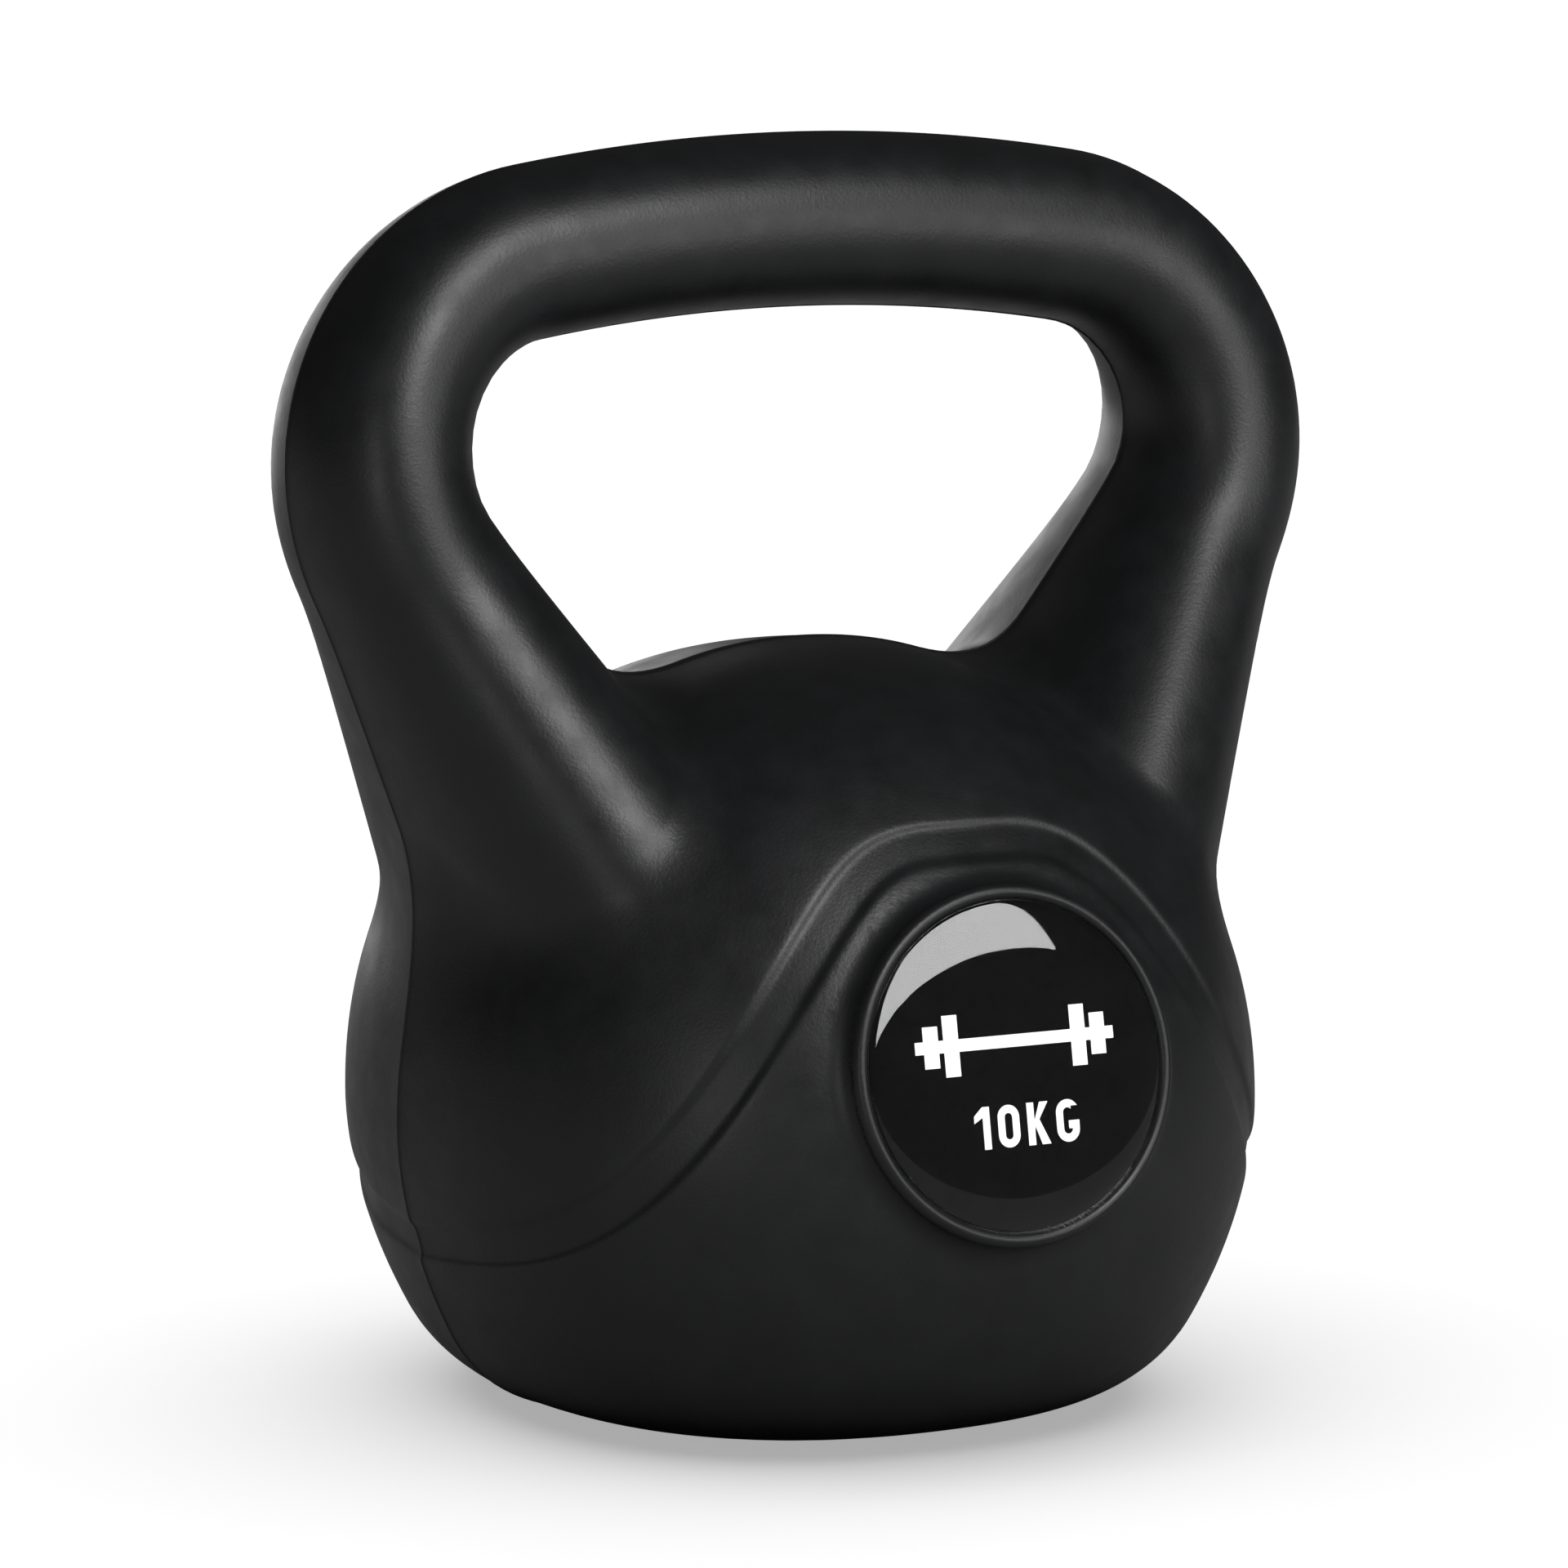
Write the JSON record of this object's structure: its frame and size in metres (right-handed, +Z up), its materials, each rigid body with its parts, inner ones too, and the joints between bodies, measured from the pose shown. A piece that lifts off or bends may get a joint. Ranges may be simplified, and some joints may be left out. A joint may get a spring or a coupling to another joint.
{
  "type": "kettlebell",
  "caption": "Vinyl-style filled kettlebell: hollow moulded shell with a wide bowed handle, cast ballast, base plug and domed round labels.",
  "frame": {"origin": "centre of the flat base, on the floor the kettlebell stands on", "axes": "+Z up; +X along the handle's length, side to side; -Y out of the front label; the mould's parting plane is Y = 0"},
  "size_m": [0.2472, 0.21, 0.28],
  "materials": {
    "shell_plastic": "satin",
    "ballast": "matte",
    "plug_plastic": "satin",
    "adhesive": "matte",
    "label_film": "gloss",
    "label_ink": "matte",
    "label_resin": "gloss"
  },
  "bodies": {
    "root": {"shell": "shell_plastic", "ballast_core": "ballast", "filler_plug": "plug_plastic", "front_label_adhesive": "adhesive", "front_label_film": "label_film", "front_label_ink": "label_ink", "front_label_dome": "label_resin", "rear_label_adhesive": "adhesive", "rear_label_film": "label_film", "rear_label_ink": "label_ink", "rear_label_dome": "label_resin"}
  },
  "joints": []
}
